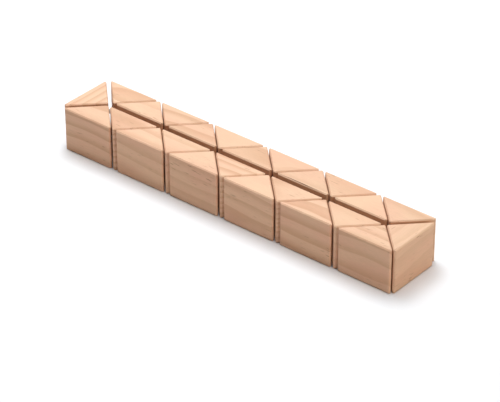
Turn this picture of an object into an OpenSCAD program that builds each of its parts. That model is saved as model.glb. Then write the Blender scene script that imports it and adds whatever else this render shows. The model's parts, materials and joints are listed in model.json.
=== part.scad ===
// Folding snake puzzle: a chain of right-angled wedges on one elastic cord,
// laid out here as a closed flat block, two wedges deep and six wide.
// X runs along the block, Y across it and Z up. The block stands on z = 0,
// centred over the origin. Every joint turns about the middle of the square
// leg faces of two neighbouring wedges.

/* [Block] */
// Length of a wedge's two equal legs, with the half seams at their ends
leg = 21; // [18:0.5:30]

/* [Fit] */
// Gap between the leg faces of two joined wedges
seam = 0.5; // [0.3:0.05:0.8]
// How far a wedge's long face is cut back, so that turned wedges pass each other
long_side_cut = 0.35; // [0.3:0.05:0.6]
// Extra gap at both joints of the left wedge, and so between the right wedge and the back row
end_slack = 1.4; // [1.4:0.1:1.8]
// How much less than the leg a wedge measures from bottom to top
height_slack = 0.5; // [0.3:0.1:0.8]

/* [Edges] */
// Radius of the three upright corners of a wedge
corner_r = 0.8; // [0.8:0.1:1.6]
// Size of the bevel round the top and the bottom of a wedge
bevel = 0.5; // [0.5:0.1:1]

/* [Cord] */
// Diameter of the elastic cord
cord_d = 2.2; // [1.8:0.1:2.6]
// Diameter of the hole that the cord runs through
hole_d = 3; // [2.8:0.1:3.4]
// Diameter of the round relief at the mouth of each hole
relief_d = 5.4; // [5:0.1:6]
// Depth of that relief
relief_depth = 1.4; // [1:0.1:2]
// Diameter of the knot at each end of the cord
knot_d = 4.4; // [4:0.1:4.8]
// Diameter of the pocket that holds a knot, drilled along the cord
pocket_d = 5.4; // [5:0.1:5.6]
// Depth of that pocket along the cord, from the middle of the free face
pocket_depth = 6.2; // [6:0.1:7]

/* [Hidden] */
// Outward wedges in each row
columns = 6;
// Length of a wedge's long side
hyp = leg * sqrt(2);
height = leg - height_slack;
// Height of every joint's axis
mid_z = height / 2;
// Straight pieces in each rounded upright corner
corner_steps = 4;
round_fn = 48;
// Size of the blocks that cut or bound a shape, longer than any wedge
cut = 60;
// How far a stretch of cord stops short of the joint's plane
cord_gap = 0.05;
// Room between a knot and both its cord and its pocket's floor
knot_clear = 0.08;

pine = [0.91, 0.74, 0.58];
pine_dark = [0.86, 0.67, 0.50];
elastic = [0.93, 0.91, 0.86];

// The slack at the left wedge moves the back row off the front row by row_gap
row_gap = end_slack * sqrt(2);
// The left wedge stands out by half of row_gap, so the rows move right to centre the block
row_shift = row_gap / 4;

// Grid points of a row: its outer edge and its inner edge, row = -1 front, 1 back
function outer(row, k) =
  [(k - columns / 2) * hyp + row_shift, row * (hyp + row_gap) / 2];
function inner(row, k) =
  [(k - 0.5 - columns / 2) * hyp + row_shift, row * row_gap / 2];

// A wedge whose long side lies on its row's outer edge, and one turned inward
function outward(row, k) = [inner(row, k), outer(row, k - 1), outer(row, k)];
function inward_wedge(row, k) = [outer(row, k), inner(row, k), inner(row, k + 1)];

// An end wedge, side = -1 left, 1 right; it spans both rows
function end_wedge(apex, side) =
  [apex, apex + [side, -1] * hyp / 2, apex + [side, 1] * hyp / 2];
// The left wedge is as far from the back row as from the front row
LEFT_WEDGE = end_wedge([inner(1, 1).x - row_gap / 2, 0], -1);
// The right wedge is joined to the front row only, and sits tight on it
RIGHT_WEDGE = end_wedge(inner(-1, columns), 1);

// The wedges in chain order, each as [right angle, end of long side, other end]
FRONT_ROW = [for (k = [columns:-1:1]) each [
  outward(-1, k),
  if (k > 1) inward_wedge(-1, k - 1)
]];
BACK_ROW = [for (k = [1:columns]) each [
  outward(1, k),
  if (k < columns) inward_wedge(1, k)
]];
WEDGES = concat([RIGHT_WEDGE], FRONT_ROW, [LEFT_WEDGE], BACK_ROW);
LAST = len(WEDGES) - 1;

// Two-figure number of a chain place, counted from 1
function figures(i) = i < 9 ? str("0", i + 1) : str(i + 1);

// Twice a triangle's area, positive where a, b, c run anticlockwise
function turn(a, b, c) = (b.x - a.x) * (c.y - a.y) - (b.y - a.y) * (c.x - a.x);
// A wedge's three corners, put in anticlockwise order
function ordered(w) = turn(w[0], w[1], w[2]) > 0 ? w : [w[0], w[2], w[1]];

function unit(v) = v / norm(v);
// Unit normal of the side from a to b, pointing into an anticlockwise outline
function inward(a, b) = let (d = unit(b - a)) [-d.y, d.x];

// Point at the given distances inside two sides that meet at p
function corner(p, n1, d1, n2, d2) =
  let (det = n1.x * n2.y - n1.y * n2.x)
  p + [(d1 * n2.y - d2 * n1.y) / det, (d2 * n1.x - d1 * n2.x) / det];

function heading(v) = atan2(v.y, v.x);

// Rounded corner between the side with normal n1 and the next, with normal n2
function arc(p, n1, d1, n2, d2, r) =
  let (
    c = corner(p, n1, d1 + r, n2, d2 + r),
    start = heading(-n1),
    sweep = (heading(-n2) - start + 720) % 360
  )
  [for (s = [0:corner_steps]) c + r * [
    cos(start + sweep * s / corner_steps),
    sin(start + sweep * s / corner_steps)
  ]];

// Outline of a wedge: p[0] is the right angle, d the inset of its three sides
function outline(p, d) =
  let (n = [inward(p[0], p[1]), inward(p[1], p[2]), inward(p[2], p[0])])
  concat(
    arc(p[0], n[2], d[2], n[0], d[0], corner_r),
    arc(p[1], n[0], d[0], n[1], d[1], corner_r),
    arc(p[2], n[1], d[1], n[2], d[2], corner_r)
  );

// The end of wedge i's free leg face, which no other wedge is joined to
function free_end(i) = WEDGES[i][2];
function is_free(i, q) = (i == 0 || i == LAST) && q == free_end(i);

// Middle of a leg face, half a seam outside the wood
function face_middle(w, q) = [(w[0].x + q.x) / 2, (w[0].y + q.y) / 2, mid_z];
function other_end(w, q) = q == w[1] ? w[2] : w[1];

// Whether a corner lies at the block's left end, where the joints have slack
function at_left_end(q) = q.x < -(columns - 1) / 2 * hyp;
// How far beyond the face's middle the joint's own plane lies
function reach(q) = at_left_end(q) ? end_slack / 2 : 0;

// Puts a child, drawn along +Z, on a leg face with +Z pointing into the wedge
module on_leg(w, q) {
  translate(face_middle(w, q))
    rotate([0, 90, heading(other_end(w, q) - w[0])])
      children();
}

// The same, with +Z pointing along the cord's straight run through the wedge
module along_cord(w, q) {
  translate(face_middle(w, q))
    rotate([0, 90, heading(other_end(w, q) - q)])
      children();
}

// Length of stock with its upper and lower edges bevelled, lying along a side
module bevelled_slab(a, b, inset) {
  d = heading(b - a);
  translate([a.x, a.y, 0])
    rotate([0, 0, d])
      translate([-cut / 2, inset, 0])
        rotate([90, 0, 90])
          linear_extrude(2 * cut)
            polygon([
              [bevel, 0], [cut, 0], [cut, height],
              [bevel, height], [0, height - bevel], [0, bevel]
            ]);
}

// Bare wooden wedge, with no holes
module wedge_blank(i) {
  p = ordered(WEDGES[i]);
  d = [seam / 2, long_side_cut, seam / 2];
  intersection() {
    linear_extrude(height) polygon(outline(p, d));
    bevelled_slab(p[0], p[1], d[0]);
    bevelled_slab(p[1], p[2], d[1]);
    bevelled_slab(p[2], p[0], d[2]);
  }
}

// Straight run through wedge i and out of both leg faces, of diameter d
module cord_run(i, d) {
  w = WEDGES[i];
  along_cord(w, w[1])
    translate([0, 0, hyp / 4])
      cylinder(h = hyp, d = d, center = true, $fn = round_fn);
}

// Round relief about the joint's axis, or the knot pocket in a free face
module mouth(i, q) {
  w = WEDGES[i];
  if (is_free(i, q))
    along_cord(w, q)
      translate([0, 0, pocket_depth - hyp])
        cylinder(h = hyp, d = pocket_d, $fn = round_fn);
  else
    on_leg(w, q)
      translate([0, 0, seam / 2 + relief_depth - hyp])
        cylinder(h = hyp, d = relief_d, $fn = round_fn);
}

module wedge(i) {
  w = WEDGES[i];
  color(i % 2 == 0 ? pine : pine_dark)
    difference() {
      wedge_blank(i);
      cord_run(i, hole_d);
      mouth(i, w[1]);
      mouth(i, w[2]);
    }
}

// Puts a child at the centre of the knot in wedge i, on the pocket's floor
module at_knot(i) {
  along_cord(WEDGES[i], free_end(i))
    translate([0, 0, pocket_depth - knot_d / 2 - knot_clear])
      children();
}

// Short straight stretch on a joint's axis, across the slack at the left wedge
module cord_stub(w, q) {
  on_leg(w, q)
    translate([0, 0, cord_gap - reach(q)])
      cylinder(h = reach(q) + cord_d / 2, d = cord_d, $fn = round_fn);
}

// The stretch of the cord that lies in wedge i, up to both joint planes
module cord(i) {
  w = WEDGES[i];
  color(elastic) {
    difference() {
      cord_run(i, cord_d);
      for (q = [w[1], w[2]])
        on_leg(w, q)
          translate([0, 0, cord_gap - cut / 2])
            cube(cut, center = true);
      if (i == 0 || i == LAST) {
        at_knot(i) sphere(d = knot_d + 2 * knot_clear, $fn = round_fn);
        at_knot(i)
          translate([0, 0, -cut / 2])
            cube(cut, center = true);
      }
    }
    for (q = [w[1], w[2]])
      if (reach(q) > 0) cord_stub(w, q);
  }
}

module knot(i) {
  color(elastic)
    at_knot(i) sphere(d = knot_d, $fn = round_fn);
}

for (i = [0:LAST]) {
  wedge(i);
  cord(i);
}
knot(0);  // knot_first
knot(LAST);  // knot_last
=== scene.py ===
"""Looks of the folding snake puzzle: 24 wooden wedges on one elastic cord, folded into a block.

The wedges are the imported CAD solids, with soft sanded edges and one solid-wood material each.
The cord and its two end knots are built here as braided meshes in place of the CAD's plain ones.
Lengths are in metres, except inside the wood and cord materials, which work in millimetres.
"""

import json
import math
import random

import bpy
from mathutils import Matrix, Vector

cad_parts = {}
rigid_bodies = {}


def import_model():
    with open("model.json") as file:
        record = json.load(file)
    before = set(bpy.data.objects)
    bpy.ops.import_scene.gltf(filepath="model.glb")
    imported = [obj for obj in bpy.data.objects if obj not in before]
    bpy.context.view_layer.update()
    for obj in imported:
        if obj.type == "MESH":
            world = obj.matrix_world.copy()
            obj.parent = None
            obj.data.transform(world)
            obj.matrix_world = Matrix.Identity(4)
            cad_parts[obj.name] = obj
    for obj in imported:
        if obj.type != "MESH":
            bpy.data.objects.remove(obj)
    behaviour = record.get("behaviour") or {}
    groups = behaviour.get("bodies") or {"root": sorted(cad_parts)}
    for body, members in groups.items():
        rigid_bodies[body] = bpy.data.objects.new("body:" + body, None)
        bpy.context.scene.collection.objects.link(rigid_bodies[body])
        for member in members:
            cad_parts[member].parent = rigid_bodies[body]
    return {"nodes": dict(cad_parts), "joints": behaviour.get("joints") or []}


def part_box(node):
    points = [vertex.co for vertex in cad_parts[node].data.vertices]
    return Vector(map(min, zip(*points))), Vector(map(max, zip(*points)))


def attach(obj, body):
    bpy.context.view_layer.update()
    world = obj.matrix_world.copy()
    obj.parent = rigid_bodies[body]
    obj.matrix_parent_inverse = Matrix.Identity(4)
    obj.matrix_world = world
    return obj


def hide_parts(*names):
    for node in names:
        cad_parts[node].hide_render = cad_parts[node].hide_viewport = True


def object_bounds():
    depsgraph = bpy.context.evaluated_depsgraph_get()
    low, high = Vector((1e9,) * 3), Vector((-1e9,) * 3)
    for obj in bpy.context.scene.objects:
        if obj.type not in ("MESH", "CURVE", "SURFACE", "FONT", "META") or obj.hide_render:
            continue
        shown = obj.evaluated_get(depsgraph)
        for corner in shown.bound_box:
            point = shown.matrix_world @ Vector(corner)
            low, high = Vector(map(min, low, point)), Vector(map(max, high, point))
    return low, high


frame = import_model()
cad_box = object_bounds()

MM = 0.001
SEED = 41
WEDGES = 24
KNOTS = {1: "knot_first", WEDGES: "knot_last"}


# ---------------------------------------------------------------- materials


class Graph:
    """A material's node tree, with short calls that add a node and link or set its inputs."""

    def __init__(self, name):
        self.material = bpy.data.materials.new(name)
        self.material.use_nodes = True
        self.tree = self.material.node_tree
        self.tree.nodes.clear()

    def add(self, kind, inputs, **settings):
        """Adds a node. inputs maps an input's name or number to a socket or a constant."""
        node = self.tree.nodes.new("ShaderNode" + kind)
        for key, value in settings.items():
            setattr(node, key, value)
        for key, value in inputs.items():
            if isinstance(value, bpy.types.NodeSocket):
                self.tree.links.new(value, node.inputs[key])
            else:
                node.inputs[key].default_value = value
        return node

    def math(self, operation, *values):
        """A Math node's output."""
        return self.add("Math", dict(enumerate(values)), operation=operation).outputs[0]

    def vector(self, operation, *values):
        """A Vector Math node's vector output."""
        return self.add("VectorMath", dict(enumerate(values)), operation=operation).outputs[0]

    def noise(self, where, stretch, detail=2.0, roughness=0.5, shift=0.0):
        """Noise of where scaled by stretch: (value, colour). shift sets patterns apart."""
        scaled = self.vector("MULTIPLY", where, stretch)
        moved = self.vector("ADD", scaled, (shift, shift, shift))
        values = {"Vector": moved, "Scale": 1.0, "Detail": detail, "Roughness": roughness}
        return self.add("TexNoise", values).outputs

    def spread(self, value, low, high, to_low=0.0, to_high=1.0):
        """value from low..high mapped smoothly to to_low..to_high."""
        values = {0: value, 1: low, 2: high, 3: to_low, 4: to_high}
        return self.add("MapRange", values, interpolation_type="SMOOTHSTEP").outputs[0]

    def mix(self, share, first, second, blend="MIX"):
        """Two colours mixed by share."""
        values = {0: share, 6: first, 7: second}
        node = self.add("Mix", values, data_type="RGBA", blend_type=blend)
        return node.outputs[2]

    def surface(self, colour, roughness, height, depth, specular):
        """Ends the tree in a Principled shader with a bump of the given height and depth."""
        bump = self.add("Bump", {"Height": height, "Distance": depth, "Strength": 1.0})
        values = {
            "Base Color": colour,
            "Roughness": roughness,
            "Normal": bump.outputs[0],
            "Specular IOR Level": specular,
        }
        shader = self.add("BsdfPrincipled", values)
        self.add("OutputMaterial", {"Surface": shader.outputs[0]})
        return self.material


EARLYWOOD = (0.765, 0.475, 0.298, 1)
LATEWOOD = (0.51, 0.240, 0.118, 1)
ROSY = (0.765, 0.440, 0.280, 1)
FLECK = (0.30, 0.135, 0.065, 1)
EDGE_HIGHLIGHT = (0.84, 0.585, 0.425, 1)  # painted highlight on the rounded edges, paler than the faces

# Ranges that each wedge draws its own value from
GRAIN_TILT = (-3.5, 3.5)  # degrees, between the grain and the wedge's long side
GRAIN_ALONG = (-400, 400)  # mm, place in the tree along the grain
GRAIN_ACROSS = (-4, 4)  # mm, the same across the grain
PITH_AWAY = (26, 60)  # mm, from the wedge to the middle of its tree
PITH_LEAN = (-35, 35)  # degrees, direction of the tree's middle about the grain
RING_GAP = (2.0, 6.5)  # mm, width of a year's ring
LATE_SHARE = (0.16, 0.50)  # strength of the late wood's colour
TONE = (0.965, 1.02)  # brightness of the whole wedge

# Patterns of the wood, in repeats per mm: along the grain, level across it, upright
RING_BEND = (0.02, 0.07, 0.07)
FIBRE = (0.22, 5.5, 5.5)
CLOUDS = (0.035, 0.10, 0.10)
STREAKS = (0.20, 2.1, 2.1)
STREAK_PLACES = (0.05, 0.13, 0.13)
SANDING = (1.2, 1.2, 9.0)

RING_WANDER = 7  # mm, how far the rings bend across the grain
RING_STRETCH = 0.03  # share of the distance along the grain that counts as distance from the pith
EDGE_HIGHLIGHT_REACH = 0.7 * MM  # how far the painted edge highlight reaches from an edge


def growth_rings(g, where, rng):
    """0 in the pale early wood of each year's ring, rising to 1 in its dark late wood."""
    wander = g.noise(where, RING_BEND, detail=1.0)[1]
    centred = g.vector("SUBTRACT", wander, (0.5, 0.5, 0.5))
    bend = g.vector("MULTIPLY", centred, (0, RING_WANDER, RING_WANDER))
    bent = g.vector("ADD", where, bend)
    away = rng.uniform(*PITH_AWAY)
    lean = math.radians(rng.uniform(*PITH_LEAN))
    side = rng.choice((-1, 1))
    pith = (0, away * math.sin(lean), side * away * math.cos(lean))
    from_pith = g.vector("SUBTRACT", bent, pith)
    across = g.vector("MULTIPLY", from_pith, (RING_STRETCH, 1, 1))
    length = g.add("VectorMath", {0: across}, operation="LENGTH").outputs["Value"]
    year = g.math("FRACT", g.math("DIVIDE", length, rng.uniform(*RING_GAP)))
    rise = g.spread(year, 0.30, 0.90)
    fall = g.spread(year, 0.93, 1.0, to_low=1.0, to_high=0.0)
    return g.math("MULTIPLY", rise, fall)


def edge_highlight_mask(g):
    """1 on the sanded edges and corners, 0 on the flats: where the edges get their painted highlight
    and are a little smoother.
    """
    flat = g.add("NewGeometry", {}).outputs["Normal"]
    rounded = g.add("Bevel", {"Radius": EDGE_HIGHLIGHT_REACH}, samples=6).outputs[0]
    node = g.add("VectorMath", {0: flat, 1: rounded}, operation="DOT_PRODUCT")
    return g.spread(node.outputs["Value"], 0.80, 0.995, to_low=1.0, to_high=0.0)


def wood(number):
    """Pale sanded softwood for one wedge. The grain runs along the wedge's long side."""
    rng = random.Random(SEED + number)
    g = Graph(f"wood_{number:02d}")
    turn = math.radians(-90 if number in END_WEDGES else 0)
    tilt = math.radians(rng.uniform(*GRAIN_TILT))
    place = [rng.uniform(*reach) for reach in (GRAIN_ALONG, GRAIN_ACROSS, GRAIN_ACROSS)]
    values = {
        "Vector": g.add("TexCoord", {}).outputs["Object"],
        "Location": place,
        "Rotation": [0, tilt, turn + tilt],
        "Scale": [1 / MM] * 3,
    }
    where = g.add("Mapping", values).outputs[0]
    late = growth_rings(g, where, rng)
    fibre = g.noise(where, FIBRE, detail=3.0, roughness=0.6)[0]
    clouds = g.noise(where, CLOUDS, detail=2.0, shift=11.0)[0]
    streaks = g.noise(where, STREAKS, detail=1.0, shift=37.0)[0]
    places = g.noise(where, STREAK_PLACES, detail=0.0, shift=71.0)[0]
    fleck = g.math("MULTIPLY", g.spread(streaks, 0.65, 0.74), g.spread(places, 0.48, 0.57))
    sanding = g.noise(where, SANDING, detail=2.0, roughness=0.7, shift=5.0)[0]
    highlit_edge = edge_highlight_mask(g)

    colour = g.mix(g.spread(clouds, 0.35, 0.68), EARLYWOOD, ROSY)
    late_share = g.math("MULTIPLY", late, rng.uniform(*LATE_SHARE))
    colour = g.mix(late_share, colour, LATEWOOD)
    tone = rng.uniform(*TONE)
    shade = g.spread(fibre, 0.25, 0.75, to_low=0.93 * tone, to_high=1.04 * tone)
    grey = g.add("CombineColor", {0: shade, 1: shade, 2: shade}).outputs[0]
    colour = g.mix(1.0, colour, grey, blend="MULTIPLY")
    colour = g.mix(g.math("MULTIPLY", fleck, 0.62), colour, FLECK)
    # Painted highlight: the rounded edges are painted paler, as if they caught the light
    colour = g.mix(g.math("MULTIPLY", highlit_edge, 0.35), colour, EDGE_HIGHLIGHT)

    # Sanded edges are a little smoother than the flats
    rough = g.spread(fibre, 0.2, 0.8, to_low=0.50, to_high=0.66)
    rough = g.math("SUBTRACT", rough, g.math("MULTIPLY", highlit_edge, 0.08))
    # Fibres and late wood stand up, flecks sink in, and sanding marks lie over them
    ridges = g.math("ADD", g.math("MULTIPLY", fibre, 0.5), g.math("MULTIPLY", late, 0.25))
    pits = g.math("SUBTRACT", ridges, g.math("MULTIPLY", fleck, 0.5))
    height = g.math("ADD", pits, g.math("MULTIPLY", sanding, 0.25))
    return g.surface(colour, rough, height, depth=0.06 * MM, specular=0.35)


ELASTIC = (0.80, 0.77, 0.70, 1)
ELASTIC_SOILED = (0.66, 0.60, 0.50, 1)
ELASTIC_CREVICE = (0.50, 0.45, 0.37, 1)
YARN = (9.0, 9.0, 9.0)  # repeats per mm
SOIL = (0.7, 0.7, 0.7)  # repeats per mm


def elastic():
    """Off-white braided elastic: the strands are in the mesh, the fine yarn is here."""
    g = Graph("braided_elastic")
    here = g.add("TexCoord", {}).outputs["Object"]
    where = g.vector("MULTIPLY", here, [1 / MM] * 3)
    yarn = g.noise(where, YARN, detail=3.0, roughness=0.65)[0]
    soil = g.noise(where, SOIL, detail=2.0, shift=3.0)[0]
    colour = g.mix(g.spread(soil, 0.35, 0.70), ELASTIC, ELASTIC_SOILED)
    crevices = g.spread(yarn, 0.3, 0.7, to_low=0.0, to_high=0.25)
    colour = g.mix(crevices, colour, ELASTIC_CREVICE)
    rough = g.spread(yarn, 0.2, 0.8, to_low=0.75, to_high=0.92)
    return g.surface(colour, rough, yarn, depth=0.05 * MM, specular=0.2)


PAPER = (0.84, 0.80, 0.775, 1)  # slightly warm, because the main light is slightly cool
PAPER_MOTTLED = (0.83, 0.79, 0.77, 1)
MOTTLE = (9.0, 9.0, 9.0)  # repeats per m
PAPER_GRAIN = (900.0, 900.0, 900.0)  # repeats per m


def studio_floor():
    """White paper, with the faintest unevenness."""
    g = Graph("floor_paper")
    here = g.add("TexCoord", {}).outputs["Object"]
    mottle = g.noise(here, MOTTLE, detail=3.0)[0]
    colour = g.mix(g.spread(mottle, 0.3, 0.7), PAPER, PAPER_MOTTLED)
    fine = g.noise(here, PAPER_GRAIN, detail=2.0)[0]
    return g.surface(colour, 0.9, fine, depth=0.02 * MM, specular=0.1)


# ---------------------------------------------------------------- wedges


def middle(node):
    """Centre of a CAD node's box."""
    low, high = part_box(node)
    return (low + high) / 2


def is_end_wedge(number):
    """An end wedge lies across both rows, so its box is longer in Y than in X."""
    low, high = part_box(f"wedge_{number:02d}")
    return high.y - low.y > high.x - low.x


END_WEDGES = {n for n in range(1, WEDGES + 1) if is_end_wedge(n)}


WELD_DISTANCE = 0.002 * MM
SANDED_WIDTH = 0.22 * MM  # of the rounded strip along each edge
SANDED_ANGLE = math.radians(28)  # faces that meet at less than this are one smooth face


def sand(piece):
    """Softens every edge of a CAD wedge, as sandpaper does."""
    weld = piece.modifiers.new("weld", "WELD")
    weld.merge_threshold = WELD_DISTANCE
    bevel = piece.modifiers.new("sanded_edges", "BEVEL")
    bevel.width = SANDED_WIDTH
    bevel.segments = 3
    bevel.limit_method = "ANGLE"
    bevel.angle_limit = SANDED_ANGLE
    bevel.harden_normals = True


def finish_wedges():
    """Gives every wedge its own wood and its sanded edges."""
    for number in range(1, WEDGES + 1):
        piece = frame["nodes"][f"wedge_{number:02d}"]
        piece.data.materials.clear()
        piece.data.materials.append(wood(number))
        sand(piece)


# ---------------------------------------------------------------- cord and knots

CORD_RADIUS = 1.1 * MM
CORD_GAP = 0.05 * MM  # how far a stretch stops short of its joint's plane
CORD_STRAIGHT = 0.6 * MM  # straight start of a stretch, so that its end is square to the joint
CORD_PULL = 5.5 * MM  # how strongly a stretch keeps to its joints' axes
KNOT_PULL = 7 * MM  # the same for a stretch that ends in a knot
CORD_STEPS = 24  # steps on each half of a stretch
KNOT_CORD_STEPS = 40  # steps on a stretch that ends in a knot
STRANDS = 8
BRAID_PITCH = 4.0 * MM
BRAID_DEPTH = 0.09 * MM
RING_POINTS = 32
RING_STEP = 0.25 * MM
NARROWED_RINGS = 3  # rings at each end over which a tube narrows

KNOT_STRAND = 0.74 * MM  # radius of the strand that a knot is tied from
KNOT_END_SCALE = (0.6, 0.55)  # how far the strand narrows at its two ends
KNOT_STEPS = 96
KNOT_SPAN = (0.12, 0.88)  # the part of the closed trefoil curve that the knot follows
TREFOIL_WIDTH = 6  # diameter of the round that holds the trefoil curve in overhand()
TREFOIL_HEIGHT = 1.2  # half the curve's height, in the same units
TAIL_LENGTH = 0.42  # of the knot's size
TAIL_STEPS = 6


def mouths(number):
    """Where a wedge's stretch of cord ends: (point, direction into the wedge) at each joint."""
    body = f"link_{number:02d}"
    centre = middle(f"wedge_{number:02d}")
    found = []
    for joint in frame["joints"]:
        if body in (joint["parent"], joint["child"]):
            point = Vector(joint["pos_m"])
            inward = Vector(joint["axis"]).normalized()
            if inward.dot(centre - point) < 0:
                inward.negate()
            found.append((point + inward * CORD_GAP, inward))
    return found


def hermite(a, a_way, b, b_way, steps):
    """Points on a smooth curve from a to b that leaves along a_way and arrives along b_way."""
    points = []
    for step in range(steps + 1):
        t = step / steps
        points.append(
            a * (2 * t**3 - 3 * t**2 + 1)
            + a_way * (t**3 - 2 * t**2 + t)
            + b * (3 * t**2 - 2 * t**3)
            + b_way * (t**3 - t**2)
        )
    return points


def evenly(points, step):
    """The same line with points an even step apart."""
    lengths = [0.0]
    for a, b in zip(points, points[1:]):
        lengths.append(lengths[-1] + (b - a).length)
    count = max(2, round(lengths[-1] / step))
    spaced, place = [], 0
    for k in range(count + 1):
        wanted = lengths[-1] * k / count
        while place < len(points) - 2 and lengths[place + 1] < wanted:
            place += 1
        span = max(lengths[place + 1] - lengths[place], 1e-12)
        share = min(1.0, (wanted - lengths[place]) / span)
        spaced.append(points[place].lerp(points[place + 1], share))
    return spaced


def braid_height(angle, along):
    """Height of the plaited surface, 0 between strands and 1 on a strand's crown."""
    turn = 2 * math.pi * along / BRAID_PITCH
    half = STRANDS / 2
    right = math.cos(half * (angle + turn))
    left = math.cos(half * (angle - turn))
    over = 0.5 + 0.5 * math.sin(half * angle) * math.sin(half * turn)
    return over * right**2 + (1 - over) * left**2


def braided_rings(points, radius, end_scale):
    """Vertices of a braided tube, RING_POINTS round each point."""
    tangent = (points[1] - points[0]).normalized()
    side = tangent.orthogonal().normalized()
    vertices = []
    along = 0.0
    for k, point in enumerate(points):
        ahead = points[min(k + 1, len(points) - 1)]
        behind = points[max(k - 1, 0)]
        tangent = (ahead - behind).normalized()
        side = (side - tangent * side.dot(tangent)).normalized()
        other = tangent.cross(side)
        if k:
            along += (point - points[k - 1]).length
        near_end = min(k, len(points) - 1 - k)
        scale = end_scale[0] if k < len(points) / 2 else end_scale[1]
        rounding = scale + (1 - scale) * math.sqrt(min(1.0, near_end / NARROWED_RINGS))
        for n in range(RING_POINTS):
            angle = 2 * math.pi * n / RING_POINTS
            bulge = braid_height(angle, along) - 1
            r = (radius + BRAID_DEPTH * bulge) * rounding
            vertices.append(point + (side * math.cos(angle) + other * math.sin(angle)) * r)
    return vertices


def braided_tube(name, points, radius, end_scale=(1.0, 1.0)):
    """Closed mesh of a braided cord along points. end_scale narrows its two ends."""
    points = evenly(points, RING_STEP)
    vertices = braided_rings(points, radius, end_scale)
    last_ring = (len(points) - 1) * RING_POINTS
    faces = []
    for k in range(len(points) - 1):
        for n in range(RING_POINTS):
            a, b = k * RING_POINTS + n, k * RING_POINTS + (n + 1) % RING_POINTS
            faces.append((a, b, b + RING_POINTS, a + RING_POINTS))
    for start, centre, turn in ((0, points[0], -1), (last_ring, points[-1], 1)):
        vertices.append(centre)
        for n in range(RING_POINTS):
            pair = (start + n, start + (n + 1) % RING_POINTS)
            faces.append((*pair[::turn], len(vertices) - 1))
    mesh = bpy.data.meshes.new(name)
    mesh.from_pydata(vertices, [], faces)
    mesh.polygons.foreach_set("use_smooth", [True] * len(mesh.polygons))
    mesh.update()
    piece = bpy.data.objects.new(name, mesh)
    bpy.context.scene.collection.objects.link(piece)
    return piece


def cord_route(number):
    """The cord's smooth way through a wedge, square to both joint planes."""
    ends = mouths(number)
    mouth, start_in = ends[0]
    start = mouth + start_in * CORD_STRAIGHT
    if number in KNOTS:
        stop = middle(KNOTS[number])
        stop_way = (stop - start).normalized()
        pull = KNOT_PULL
        return [mouth] + hermite(start, start_in * pull, stop, stop_way * pull, KNOT_CORD_STEPS)
    far_mouth, stop_in = ends[1]
    stop = far_mouth + stop_in * CORD_STRAIGHT
    halfway = (start + stop) / 2
    straight = (stop - start).normalized()
    pull = CORD_PULL
    first = hermite(start, start_in * pull, halfway, straight * pull * 2, CORD_STEPS)
    second = hermite(halfway, straight * pull * 2, stop, -stop_in * pull, CORD_STEPS)
    return [mouth] + first + second[1:] + [far_mouth]


def overhand(centre, way, size):
    """Points of a tight overhand knot about centre, with a short tail pointing along way."""
    basis = way.to_track_quat("Z", "Y").to_matrix()
    points = []
    first, last = KNOT_SPAN
    for k in range(KNOT_STEPS + 1):
        t = 2 * math.pi * (first + (last - first) * k / KNOT_STEPS)
        x = math.sin(t) + 2 * math.sin(2 * t)
        y = math.cos(t) - 2 * math.cos(2 * t)
        z = -TREFOIL_HEIGHT * math.sin(3 * t)
        points.append(centre + basis @ (Vector((x, z, -y)) * size / TREFOIL_WIDTH))
    end = points[-1]
    tail = end + way * size * TAIL_LENGTH
    return points + [end.lerp(tail, s / TAIL_STEPS) for s in range(1, TAIL_STEPS + 1)]


def knot(number, material):
    """The end knot in its pocket, in place of the CAD's ball."""
    node = KNOTS[number]
    low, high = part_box(node)
    centre = middle(node)
    start = mouths(number)[0][0]
    way = (centre - start).normalized()
    size = (high.x - low.x) - 2 * KNOT_STRAND
    route = overhand(centre, way, size)
    piece = braided_tube(f"{node}_tied", route, KNOT_STRAND, KNOT_END_SCALE)
    piece.data.materials.append(material)
    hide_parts(node)
    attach(piece, f"link_{number:02d}")


def string_cord():
    """A braided stretch through each wedge, and a knot at each end of the chain."""
    material = elastic()
    for number in range(1, WEDGES + 1):
        name = f"cord_{number:02d}"
        piece = braided_tube(f"{name}_braided", cord_route(number), CORD_RADIUS)
        piece.data.materials.append(material)
        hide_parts(name)
        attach(piece, f"link_{number:02d}")
    for number in KNOTS:
        knot(number, material)


# ---------------------------------------------------------------- studio

DAYLIGHT = (0.91, 1.0, 1.08)
WARM = (1.0, 0.90, 0.74)
WARMER = (1.0, 0.55, 0.25)
SKY = (1.0, 0.97, 0.94, 1)
SKY_STRENGTH = 0.03

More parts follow.
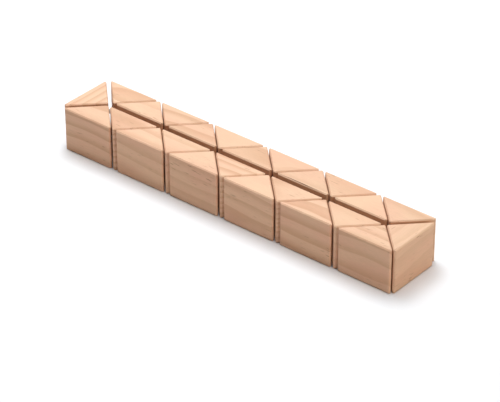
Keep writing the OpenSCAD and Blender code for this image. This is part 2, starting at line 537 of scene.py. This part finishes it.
# The photo's view: direction, lens, distance and the point it is aimed at
AZIMUTH, ELEVATION = math.radians(39.4), math.radians(32.5)
LENS = 174
DISTANCE = 0.995
AIM_FROM_CENTRE = Vector((11.7, -9.5, -0.2)) * MM


def area(name, place, size, power, colour):
    """A square area light at place, facing the block."""
    light = bpy.data.lights.new(name, "AREA")
    light.shape = "SQUARE"
    light.size = size
    light.energy = power
    light.color = colour
    lamp = bpy.data.objects.new(name, light)
    lamp.location = place
    lamp.rotation_euler = (-Vector(place)).to_track_quat("-Z", "Y").to_euler()
    bpy.context.scene.collection.objects.link(lamp)


def studio():
    """White floor under broad overhead light, brightest at the left, with weak side and front fills."""
    bpy.ops.mesh.primitive_grid_add(x_subdivisions=8, y_subdivisions=8, size=6)
    floor = bpy.context.object
    floor.name = "floor"
    floor.data.materials.append(studio_floor())

    area("overhead", (0.0, 0.16, 1.35), size=1.3, power=18.5, colour=DAYLIGHT)
    area("near_left", (-0.24, 0.13, 0.60), size=0.42, power=2.9, colour=DAYLIGHT)
    area("right_side", (1.25, -0.10, 0.55), size=0.7, power=5.0, colour=WARM)
    area("warm_front", (-0.2, -1.9, 0.8), size=1.2, power=1.1, colour=WARMER)
    world = bpy.data.worlds.new("studio")
    world.use_nodes = True
    background = world.node_tree.nodes["Background"]
    background.inputs["Color"].default_value = SKY
    background.inputs["Strength"].default_value = SKY_STRENGTH
    bpy.context.scene.world = world
    bpy.context.scene.view_settings.view_transform = "Standard"


def camera():
    """A long lens, from the front right and above."""
    level = math.cos(ELEVATION)
    back = Vector((math.sin(AZIMUTH) * level, -math.cos(AZIMUTH) * level, math.sin(ELEVATION)))
    low, high = cad_box
    aim = (low + high) / 2 + AIM_FROM_CENTRE
    data = bpy.data.cameras.new("camera")
    data.lens = LENS
    data.clip_start = 0.05
    camera_object = bpy.data.objects.new("camera", data)
    camera_object.location = aim + back * DISTANCE
    camera_object.rotation_euler = (-back).to_track_quat("-Z", "Y").to_euler()
    bpy.context.scene.collection.objects.link(camera_object)
    bpy.context.scene.camera = camera_object


camera()
finish_wedges()
string_cord()
studio()
